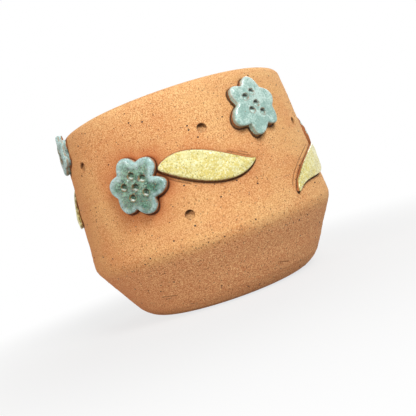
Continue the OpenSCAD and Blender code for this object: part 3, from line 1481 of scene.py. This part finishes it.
@dataclass
class PotBody:
    """The thrown pot: a lathe-turned shell with throwing rings, pits and tool marks."""

    name: str = "thrown_pot"
    node: str = "pot_body"
    foot_radius: float = 44.8
    wall: float = 6.6
    floor: float = 7.0
    drain_radius: float = 6.0
    lip_outer: float = 4.2
    lip_inner: float = 1.6
    belly_round: float = 9.0
    belly_inner: float = 7.0
    foot_round: float = 15.0
    floor_round: float = 13.0
    drain_round: float = 0.9
    spacing: float = 1.5
    segments: int = 264
    throwing_pitch: float = 6.2
    throwing_depth: float = 0.22
    lip_fade: tuple[float, float] = (3.0, 9.0)
    drain_fade: tuple[float, float] = (2.0, 6.0)
    ring_circle: float = 1.2
    fine_rings: Unevenness = Unevenness(3, 3.4, 0.07)
    broad_rings: Unevenness = Unevenness(4, 9.0, 0.12)
    sway: Unevenness = Unevenness(8, 90.0, 0.2)
    dents: Unevenness = Unevenness(9, 14.0, 0.05)
    spare: float = 0.16
    pit_radius: float = 2.15
    pit_depth: float = 2.3
    # Share of the pit's depth at its middle and at its shallow side.
    pit_slant: float = 0.6
    pit_shallow: float = 0.18
    # The pit's wall falls from outside its radius to inside it.
    pit_edge: tuple[float, float] = (0.1, -0.25)
    pit_burr: float = 0.1
    burr_gap: float = 0.4
    burr_width: float = 0.3
    pit_lean: float = 2.0
    # The clay is darker and redder round this azimuth.
    redder_side: float = -82.0
    side_redness: float = 0.52
    flash_spread: float = 34.0
    # Painted shade in the grooves and along the seams, and the painted contact shadow under each
    # tile.
    mark_shade: float = 0.6
    seam_width: float = 0.4
    seam_shade: float = 0.45
    contact_reach: tuple[float, float] = (0.65, 0.25)
    contact_shade: float = 0.95
    # How far from pits, seams and marks each round of cutting makes the faces finer.
    fine_reaches: tuple = ((4.0, 2.6, 2.2), (3.4, 1.6, 1.3), (2.9, 0.0, 0.8))
    pits: tuple = (
        (-52.0, 0.73), (9.6, 0.679), (-6.3, 0.189), (62.2, 0.567),
        (133.0, 0.70), (176.0, 0.22), (-161.0, 0.64), (-99.0, 0.80),
    )

    def corners(self) -> list[tuple[float, float, float]]:
        """Corners of the closed section: radius, height and rounding."""
        inner_foot = self.foot_radius - self.wall
        lean = (WALL.belly_radius - self.foot_radius) * self.floor / WALL.belly_height
        return [
            (self.drain_radius, 0.0, self.drain_round),
            (self.foot_radius, 0.0, self.foot_round),
            (WALL.belly_radius, WALL.belly_height, self.belly_round),
            (WALL.lip_radius, WALL.pot_height, self.lip_outer),
            (WALL.lip_radius - self.wall, WALL.pot_height, self.lip_inner),
            (WALL.belly_radius - self.wall, WALL.belly_height, self.belly_inner),
            (inner_foot + lean, self.floor, self.floor_round),
            (self.drain_radius, self.floor, self.drain_round),
        ]

    def section(self) -> np.ndarray:
        """Closed section of the pot, rounded and evenly spaced.

        Returns:
            Rows of radius and height.
        """
        corners = self.corners()
        line = []
        for index, (radius, height, rounding) in enumerate(corners):
            here = np.array([radius, height])
            before = np.array(corners[index - 1][:2]) - here
            after = np.array(corners[(index + 1) % len(corners)][:2]) - here
            before /= np.linalg.norm(before)
            after /= np.linalg.norm(after)
            half = math.acos(float(before @ after)) / 2
            bisector = (before + after) / np.linalg.norm(before + after)
            centre = here + bisector * rounding / math.sin(half)
            first = here + before * rounding / math.tan(half) - centre
            last = here + after * rounding / math.tan(half) - centre
            start = math.atan2(first[1], first[0])
            sweep = math.atan2(first[0] * last[1] - first[1] * last[0], first @ last)
            for share in np.linspace(0, 1, max(5, int(abs(sweep) * rounding / 0.9) + 2)):
                angle = start + sweep * share
                line.append(centre + rounding * np.array([math.cos(angle), math.sin(angle)]))
        even = []
        for here, there in zip(line, line[1:] + line[:1]):
            steps = max(1, round(float(np.linalg.norm(there - here)) / self.spacing))
            even += [here + (there - here) * step / steps for step in range(steps)]
        return np.array(even)

    def lathe(self) -> bpy.types.Object:
        """Turn the section round the axis with Geometry Nodes.

        Returns:
            The pot's object, a plain mesh with the attribute travel.
        """
        section = self.section()
        travel = np.concatenate([[0], np.cumsum(np.linalg.norm(np.diff(section, axis=0), axis=1))])
        places = np.column_stack([section[:, 0], np.zeros(len(section)), section[:, 1]])
        pattern = make_object("pot_section", places, [])
        add_attribute(pattern, "travel", travel)
        values = {"Section": pattern, "Segments": self.segments}
        piece = lathe_tree(len(section)).run(self.name, values)
        bpy.data.objects.remove(pattern)
        mend_mesh(piece, 0.02)
        return piece

    def refine(self, piece: bpy.types.Object, tiles: dict[str, Tile]) -> None:
        """Cut the faces near pits, seams and marks into finer ones.

        Args:
            piece: The pot's object.
            tiles: The tiles by name.
        """
        for pit_reach, seam_reach, mark_reach in self.fine_reaches:
            places = read_places(piece)
            near = np.zeros(len(places), dtype=bool)
            for azimuth, share in self.pits:
                flat = WALL.flatten(azimuth, WALL.height(share), places)
                near |= np.hypot(flat[:, 0], flat[:, 1]) < pit_reach
            for tile in tiles.values():
                near |= tile.gap(places) < seam_reach
            for mark in MARKS:
                near |= mark.gap(tiles, places) < mark_reach
            near &= self.outside(places)
            shell = bmesh.new()
            shell.from_mesh(piece.data)
            shell.verts.ensure_lookup_table()
            edges = [e for e in shell.edges if near[e.verts[0].index] and near[e.verts[1].index]]
            bmesh.ops.subdivide_edges(shell, edges=edges, cuts=1, use_grid_fill=True)
            shell.to_mesh(piece.data)
            shell.free()

    def waviness(self, piece: bpy.types.Object, places: np.ndarray) -> np.ndarray:
        """How far each point stands off the turned section.

        Args:
            piece: The pot's object.
            places: Rows of x, y and z.

        Returns:
            One distance for each point, inwards where it is negative.
        """
        travel = read_attribute(piece, "travel")
        _, turn = around(places)
        # A small circle through the noise lets the rings vary and join up after a whole turn.
        circle = self.ring_circle * np.column_stack([np.cos(turn), np.sin(turn)])
        ring_place = np.column_stack([travel, circle])
        rings = self.fine_rings.at(ring_place) + self.broad_rings.at(ring_place)
        sway = self.sway.at(places)
        spiral = np.sin(2 * math.pi * travel / self.throwing_pitch - turn) * self.throwing_depth
        foot = smooth_step(0.3, 4.0, places[:, 2])
        outer = (rings + sway + self.dents.at(places) - self.spare) * foot
        inner = (spiral + sway - self.throwing_depth) * self.inner_share(places)
        return np.where(self.outside(places), outer, inner)

    def pressing(self, places: np.ndarray) -> tuple[np.ndarray, np.ndarray]:
        """Depth of the pits and their painted shade, darkest on their upper side.

        Args:
            places: Rows of x, y and z.

        Returns:
            The depth at each point, and the share of painted shade there.
        """
        sink = np.zeros(len(places))
        dark = np.zeros(len(places))
        lean = math.radians(self.pit_lean)
        for azimuth, share in self.pits:
            flat = WALL.flatten(azimuth, WALL.height(share), places)
            gap = np.hypot(flat[:, 0], flat[:, 1])
            upward = (flat[:, 1] * math.cos(lean) + flat[:, 0] * math.sin(lean)) / self.pit_radius
            slant = np.clip(self.pit_slant + 0.42 * upward, self.pit_shallow, 1.0)
            hole = smooth_step(*self.pit_edge, gap - self.pit_radius)
            burr = bell(gap - self.pit_radius - self.burr_gap, self.burr_width) * slant
            sink += hole * self.pit_depth * slant - self.pit_burr * burr
            # Painted shade over each pit, darkest at its upper side, and a painted ring of shade
            # on its upper wall.
            wall = 4 * hole * (1 - hole) * smooth_step(-0.5, 0.1, upward)
            dark = np.maximum(dark, hole * (0.3 + 0.6 * smooth_step(0.4, 0.85, upward)))
            dark = np.maximum(dark, wall)
        return sink, dark

    def shape(self, piece: bpy.types.Object, tiles: dict[str, Tile]) -> None:
        """Give the turned shell its handmade surface, and the attributes for its colour and
        painted shade.

        Args:
            piece: The pot's object.
            tiles: The tiles by name.
        """
        places = read_places(piece)
        outside = self.outside(places)
        sink, dark = self.pressing(places)
        turn = np.degrees(around(places)[1])
        from_redder_side = (turn - self.redder_side + 180) % 360 - 180
        flash = self.side_redness * bell(from_redder_side, self.flash_spread)
        # Each groove is sunk and darkened with painted shade.
        for mark in MARKS:
            groove = bell(mark.gap(tiles, places), mark.width)
            sink += groove * mark.depth
            dark = np.maximum(dark, groove * self.mark_shade)
        for tile in tiles.values():
            gap = tile.gap(places)
            flash = np.maximum(flash, np.exp(-gap / tile.halo_reach) * tile.halo)
            # Painted shade along the seam where the tile meets the wall, and a painted contact
            # shadow below the tile.
            dark = np.maximum(dark, bell(gap, self.seam_width) * self.seam_shade)
            below = tile.gap(places, tile.outline()[::OUTLINE_STEP] - tile.shelter)
            contact = smooth_step(*self.contact_reach, below) * self.contact_shade
            dark = np.maximum(dark, contact)
        places += read_rows(piece, "normal") * self.waviness(piece, places)[:, None]
        inward = places[:, :2] / np.maximum(around(places)[0], 1.0)[:, None]
        places[:, :2] -= inward * np.where(outside, sink, 0.0)[:, None]
        write_places(piece, places)
        add_attribute(piece, "flash", np.where(outside, flash, 0.0))
        add_attribute(piece, "pressed", np.where(outside, dark, 0.0))

    def outside(self, places: np.ndarray) -> np.ndarray:
        """Tell which points lie on the outer side of the shell.

        Args:
            places: Rows of x, y and z.

        Returns:
            True for each point outside.
        """
        radius, _ = around(places)
        spread = WALL.belly_radius - self.foot_radius
        lower = self.foot_radius + spread * places[:, 2] / WALL.belly_height
        middle = np.minimum(lower, WALL.radius(places[:, 2])) - self.wall / 2
        return (radius > middle) | (places[:, 2] < self.floor / 2)

    def inner_share(self, places: np.ndarray) -> np.ndarray:
        """Fade the throwing spiral out at the lip and round the drain hole.

        Args:
            places: Rows of x, y and z.

        Returns:
            The share of the spiral at each point.
        """
        radius, _ = around(places)
        below_lip = smooth_step(*self.lip_fade, WALL.pot_height - places[:, 2])
        off_drain = smooth_step(*self.drain_fade, radius - self.drain_radius)
        return below_lip * off_drain

    def build(self, tiles: dict[str, Tile]) -> bpy.types.Object:
        """Build the pot.

        Args:
            tiles: The tiles by name.

        Returns:
            Its object.
        """
        piece = self.lathe()
        self.refine(piece, tiles)
        self.shape(piece, tiles)
        piece.data.shade_smooth()
        return piece

    def dress(self, piece: bpy.types.Object, material: bpy.types.Material) -> None:
        """Give the pot its clay and put it in the place of its solid.

        Args:
            piece: The pot's object.
            material: The clay.
        """
        piece.data.materials.clear()
        piece.data.materials.append(material)
        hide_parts(self.node)
        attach(piece, BODY)
        LOG.info("%s: %d faces", self.name, len(piece.data.polygons))


def lathe_tree(rows: int) -> GeometryTree:
    """Write the tree that turns a closed section round the axis.

    Args:
        rows: Number of points of the section.

    Returns:
        The tree, with inputs Section, Segments and Clay.
    """
    build = GeometryTree("lathe", {"Section": "Object", "Segments": "Int", "Clay": "Material"})
    corners = {"Vertices X": build.given("Segments") + 1.0, "Vertices Y": rows + 1}
    grid = build.signal(
        "GeometryNodeMeshGrid", "Mesh", None, {"Size X": 1.0, "Size Y": 1.0, **corners}
    )
    here = build.signal("GeometryNodeInputPosition", 0)
    place = build.node("ShaderNodeSeparateXYZ", None, {0: here}).outputs
    turn = (Signal(build, place["X"]) + 0.5) * (2 * math.pi)
    row = (Signal(build, place["Y"]) + 0.5) * float(rows)
    row = build.math("MODULO", build.math("ROUND", row, 0.0), float(rows))
    section = build.shape_of("Section")
    travel = build.signal(
        "GeometryNodeInputNamedAttribute", "Attribute", {"data_type": "FLOAT"}, {"Name": "travel"}
    )

    def on_section(value: Signal, kind: str) -> Signal:
        """Read a value at the section's point of this row."""
        inputs = {"Geometry": section, "Value": value, "Index": row}
        settings = {"data_type": kind, "domain": "POINT"}
        return build.signal("GeometryNodeSampleIndex", "Value", settings, inputs)

    spun = build.signal(
        "ShaderNodeVectorRotate",
        "Vector",
        {"rotation_type": "Z_AXIS"},
        {"Vector": on_section(here, "FLOAT_VECTOR"), "Angle": turn},
    )
    kept = build.signal(
        "GeometryNodeStoreNamedAttribute",
        "Geometry",
        {"data_type": "FLOAT", "domain": "POINT"},
        {"Geometry": grid, "Name": "travel", "Value": on_section(travel, "FLOAT")},
    )
    inputs = {"Geometry": kept, "Position": spun}
    moved = build.signal("GeometryNodeSetPosition", "Geometry", None, inputs)
    build.finish(moved, build.given("Clay"))
    return build


@dataclass
class IronSpecks:
    """Iron specks that melted out of the clay, scattered over the body."""

    name: str = "iron_specks"
    per_square_cm: float = 1.5
    smallest: float = 0.17
    largest: float = 0.52
    narrowness: float = 0.8
    flatness: float = 0.35
    lowest: float = 1.0
    seed: int = 11

    def tree(self) -> GeometryTree:
        """Write the tree that scatters specks on a host.

        Returns:
            The tree, with inputs for its sizes.
        """
        sizes = ("Density", "Smallest", "Largest", "Narrowness", "Flatness", "Lowest")
        kinds = {"Host": "Object", **dict.fromkeys(sizes, "Float")}
        build = GeometryTree("iron specks", {**kinds, "Seed": "Int", "Iron": "Material"})
        seed = {"Seed": build.given("Seed")}
        here = build.signal("GeometryNodeInputPosition", 0)
        height = build.signal("ShaderNodeSeparateXYZ", "Z", None, {0: here})
        inputs = {
            "Mesh": build.shape_of("Host"),
            "Selection": build.math("GREATER_THAN", height, build.given("Lowest")),
            "Density": build.given("Density"),
        }
        spread = build.node(
            "GeometryNodeDistributePointsOnFaces", {"distribute_method": "RANDOM"}, inputs | seed
        )
        ball = build.signal(
            "GeometryNodeMeshUVSphere", "Mesh", None, {"Segments": 7, "Rings": 4, "Radius": 1.0}
        )
        inputs = {0: 1.0, 1: build.given("Narrowness"), 2: build.given("Flatness")}
        scale = build.signal("ShaderNodeCombineXYZ", 0, None, inputs)
        inputs = {"Geometry": ball, "Scale": scale}
        squashed = build.signal("GeometryNodeTransform", "Geometry", None, inputs)
        chance = build.signal("FunctionNodeRandomValue", 1, {"data_type": "FLOAT"}, seed)
        smallest = build.given("Smallest")
        inputs = {
            "Points": spread.outputs["Points"],
            "Instance": squashed,
            "Rotation": spread.outputs["Rotation"],
            "Scale": chance**2.0 * (build.given("Largest") - smallest) + smallest,
        }
        placed = build.signal("GeometryNodeInstanceOnPoints", "Instances", None, inputs)
        build.finish(placed, build.given("Iron"))
        return build

    def build(self, host: bpy.types.Object, material: bpy.types.Material) -> None:
        """Scatter the specks.

        Args:
            host: The pot.
            material: The iron.
        """
        values = {
            "Host": host,
            "Density": self.per_square_cm * 1e4,
            "Smallest": self.smallest * MM,
            "Largest": self.largest * MM,
            "Narrowness": self.narrowness,
            "Flatness": self.flatness,
            "Lowest": self.lowest * MM,
            "Seed": self.seed,
            "Iron": material,
        }
        piece = self.tree().run(self.name, values)
        piece.data.shade_smooth()
        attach(piece, BODY)
        LOG.info("%s: %d faces", self.name, len(piece.data.polygons))


@dataclass(frozen=True)
class Lamp:
    """A square soft lamp: place and size in millimetres, power in watts.

    One that isn't mirrored lights the pot but leaves no glint in the glaze.
    """

    name: str
    place: tuple[float, float, float]
    size: float
    power: float
    colour: tuple[float, float, float] = (1.0, 1.0, 1.0)
    mirrored: bool = True

    def hang(self, target: tuple[float, float, float]) -> None:
        """Hang the lamp.

        Args:
            target: The place that it faces, in millimetres.
        """
        data = bpy.data.lights.new(self.name, "AREA")
        data.size = self.size * MM
        data.energy = self.power
        data.color = self.colour
        lamp = bpy.data.objects.new(self.name, data)
        bpy.context.scene.collection.objects.link(lamp)
        here = Vector(self.place) * MM
        aim = Vector(target) * MM - here
        facing = aim.to_track_quat("-Z", "Y").to_matrix().to_4x4()
        lamp.matrix_world = Matrix.Translation(here) @ facing
        lamp.visible_glossy = self.mirrored


@dataclass
class Studio:
    """Pale floor, soft lamps and the camera that takes the photographed view."""

    lens: float = 51.92
    sensor: float = 36.0
    eye: tuple = (0.0, -312.35, 46.02)
    right: tuple = (0.94503582, -0.00822514, -0.32686335)
    up: tuple = (0.32692476, 0.00773604, 0.94501871)
    back: tuple = (-0.00524428, -0.99993625, 0.00999983)
    near_clip: float = 10.0
    far_clip: float = 20000.0
    pot_middle: tuple[float, float, float] = (0.0, 0.0, 50.0)
    floor_size: float = 6000.0
    floor_colour: tuple = screen(186, 186, 186)
    floor_roughness: float = 0.9
    floor_shine: float = 0.1
    fade_start: float = 70.0
    fade_end: float = 240.0
    near_white: float = 0.76
    white: tuple = (1.0, 1.0, 1.0, 1.0)
    warm_white: tuple = (1.0, 0.95, 0.9, 1.0)
    ambience: float = 0.17
    lamps: tuple[Lamp, ...] = (
        Lamp("key", (310.0, -540.0, 560.0), 320.0, 5.5),
        Lamp("window", (-560.0, -420.0, 330.0), 100.0, 0.9),
        Lamp("low fill", (-460.0, -400.0, 20.0), 420.0, 1.9, (1.0, 0.86, 0.74)),
        Lamp("low side", (480.0, 260.0, 30.0), 200.0, 0.3, mirrored=False),
        Lamp("back light", (260.0, 620.0, 520.0), 600.0, 3.2),
    )

    def camera(self) -> None:
        """Set up the camera and make it the scene's."""
        data = bpy.data.cameras.new("camera")
        data.lens = self.lens
        data.sensor_width = self.sensor
        data.clip_start = self.near_clip * MM
        data.clip_end = self.far_clip * MM
        camera = bpy.data.objects.new("camera", data)
        bpy.context.scene.collection.objects.link(camera)
        axes = Matrix((self.right, self.up, self.back)).transposed().to_4x4()
        camera.matrix_world = Matrix.Translation(Vector(self.eye) * MM) @ axes
        bpy.context.scene.camera = camera

    def world(self) -> None:
        """Light from all round, and plain white where the camera or a glaze looks past the pot."""
        world = bpy.data.worlds.new("studio")
        world.use_nodes = True
        bpy.context.scene.world = world
        world.node_tree.nodes.clear()
        build = NodeBuilder(world.node_tree)
        shown = {0: build.seen()}
        lights = ((self.warm_white, self.ambience), (self.white, 1.0))
        for number, (colour, strength) in enumerate(lights, start=1):
            inputs = {"Color": colour, "Strength": strength}
            shown[number] = build.signal("ShaderNodeBackground", 0, None, inputs)
        both = build.signal("ShaderNodeMixShader", 0, None, shown)
        build.node("ShaderNodeOutputWorld", None, {"Surface": both})

    def floor(self) -> None:
        """Lay the floor, which shows the pot's shadow and fades to white away from it."""
        half = self.floor_size / 2
        corners = half * np.array([[-1, -1, 0], [1, -1, 0], [1, 1, 0], [-1, 1, 0]])
        floor = make_object("floor", corners, [(0, 1, 2, 3)])
        graph = ShaderGraph("pale floor")
        look = {"Base Color": self.floor_colour, "Roughness": self.floor_roughness}
        graph.feed(graph.shader, {**look, "Specular IOR Level": self.floor_shine})
        length = {"operation": "LENGTH"}
        away = graph.signal("ShaderNodeVectorMath", "Value", length, {0: graph.place})
        away = away.step(self.fade_start, self.fade_end)
        share = away * (1 - self.near_white) + self.near_white
        inputs = {"Color": self.white, "Strength": 1.0}
        white = graph.signal("ShaderNodeEmission", "Emission", None, inputs)
        inputs = {0: share * graph.seen(), 1: graph.shader.outputs["BSDF"], 2: white}
        both = graph.signal("ShaderNodeMixShader", "Shader", None, inputs)
        graph.feed(graph.output, {"Surface": both})
        floor.data.materials.append(graph.material)

    def build(self) -> None:
        """Set up the whole studio."""
        self.camera()
        self.world()
        self.floor()
        for lamp in self.lamps:
            lamp.hang(self.pot_middle)
        bpy.context.scene.view_settings.view_transform = "Standard"


def flowers() -> dict[str, Flower]:
    """List the six flowers.

    Returns:
        The flowers by name, from the front round to the left.
    """
    teal = Glaze.MOTTLED_TEAL
    pale = Glaze.PALE_TURQUOISE
    loose = Dimples.LOOSE
    made = [
        Flower("flower_front_left", -22.7, 0.462, 49.0, teal, seed=21, petals=BROAD_PETALS,
               glaze_run=0.9, halo=1.0, halo_reach=6.5),
        Flower("flower_front_right", 34.1, 0.7205, 19.0, pale, seed=22, petals=STARRY_PETALS,
               dimples=loose, edge_width=1.3, edge_drop=1.0, glaze_run=2.2, burnt=0.3,
               shelter=(0.1, 0.55), halo=0.35),
        Flower("flower_right", 104.0, 0.47, 0.0, teal, seed=23, petals=WIDE_PETALS, spin=50.0,
               thickness=3.1, edge_width=1.2, edge_drop=0.5, glaze_run=-0.8, burnt=0.4,
               halo=0.3),
        Flower("flower_back", 163.0, 0.74, 33.0, pale, seed=24, spin=90.0, dimples=loose),
        Flower("flower_back_left", -124.0, 0.444, 12.0, teal, seed=25, spin=200.0),
        Flower("flower_left", -71.4, 0.882, 30.0, teal, seed=26, reach=10.5, dimples=loose,
               thickness=2.8, glaze_run=2.2),
    ]
    return {flower.name: flower for flower in made}


def leaf_in_dip(
    name: str, flower: Flower, dip: int, turn: float, seed: int, lift: float = 0.0
) -> Leaf:
    """Lay a leaf whose stalk lies in a dip of a flower.

    Args:
        name: Name of the leaf.
        flower: The flower.
        dip: Number of the dip, counted on from below the first petal.
        turn: How far the leaf's tip is turned up from the level, in degrees.
        seed: Seed of the leaf's unevenness.
        lift: How far the leaf is moved up, in millimetres.

    Returns:
        The leaf.
    """
    leaf = Leaf(name, 0.0, 0.0, turn, Glaze.SPECKLED_YELLOW, seed=seed)
    way = math.radians(flower.turn + (dip - 0.5) * 360 / PETAL_COUNT)
    away = flower.reach * flower.dip_share + STALK_GAP
    slant = math.radians(turn)
    stalk = flower.middle + away * math.sin(way)
    radius = float(WALL.radius(stalk))
    offsets = (away * math.cos(way), leaf.length / 2 * math.cos(slant))
    leaf.azimuth = flower.azimuth + sum(math.degrees(math.asin(x / radius)) for x in offsets)
    middle = stalk + leaf.length / 2 * math.sin(slant)
    leaf.height_share = (middle + lift - WALL.belly_height) / WALL.rise
    return leaf


def leaves(blooms: dict[str, Flower]) -> dict[str, Leaf]:
    """List the five leaves.

    Args:
        blooms: The flowers by name.

    Returns:
        The leaves by name, from the front round to the back.
    """
    yellow = Glaze.SPECKLED_YELLOW
    made = [
        leaf_in_dip("leaf_front", blooms["flower_front_left"], 0, -11.0, 31, lift=0.87),
        Leaf("leaf_right", 61.2, 0.230, 204.6, yellow, seed=32, length=48.0, breadth=13.6,
             upper_handles=((0.30, 1.38), (0.72, -0.46)), end_round=1.5, edge_width=0.6,
             lower_handles=((0.03, -0.34), (0.86, -0.94)), edge_drop=0.4, glaze_run=0.15,
             thickness=1.5, burnt=0.05, shelter=(-0.25, 0.5), halo=0.15),
        Leaf("leaf_left", -90.0, 0.529, -28.0, yellow, seed=33),
        leaf_in_dip("leaf_back_right", blooms["flower_right"], 1, -14.0, 34),
        leaf_in_dip("leaf_back_left", blooms["flower_back_left"], 4, 203.0, 35),
    ]
    return {leaf.name: leaf for leaf in made}


def main() -> None:
    """Build and dress every piece, then the studio."""
    logging.basicConfig(level=logging.INFO, format="%(name)s: %(message)s")
    clay = ClayFinish().material()
    glazes = {glaze: glaze.value.material() for glaze in Glaze}
    tiles: dict[str, Tile] = flowers()
    tiles.update(leaves(tiles))
    for tile in tiles.values():
        tile.dress(tile.build(), glazes)
    pot = PotBody()
    body = pot.build(tiles)
    pot.dress(body, clay)
    IronSpecks().build(body, SpeckFinish().material())
    Studio().build()


if __name__ == "__main__":
    main()
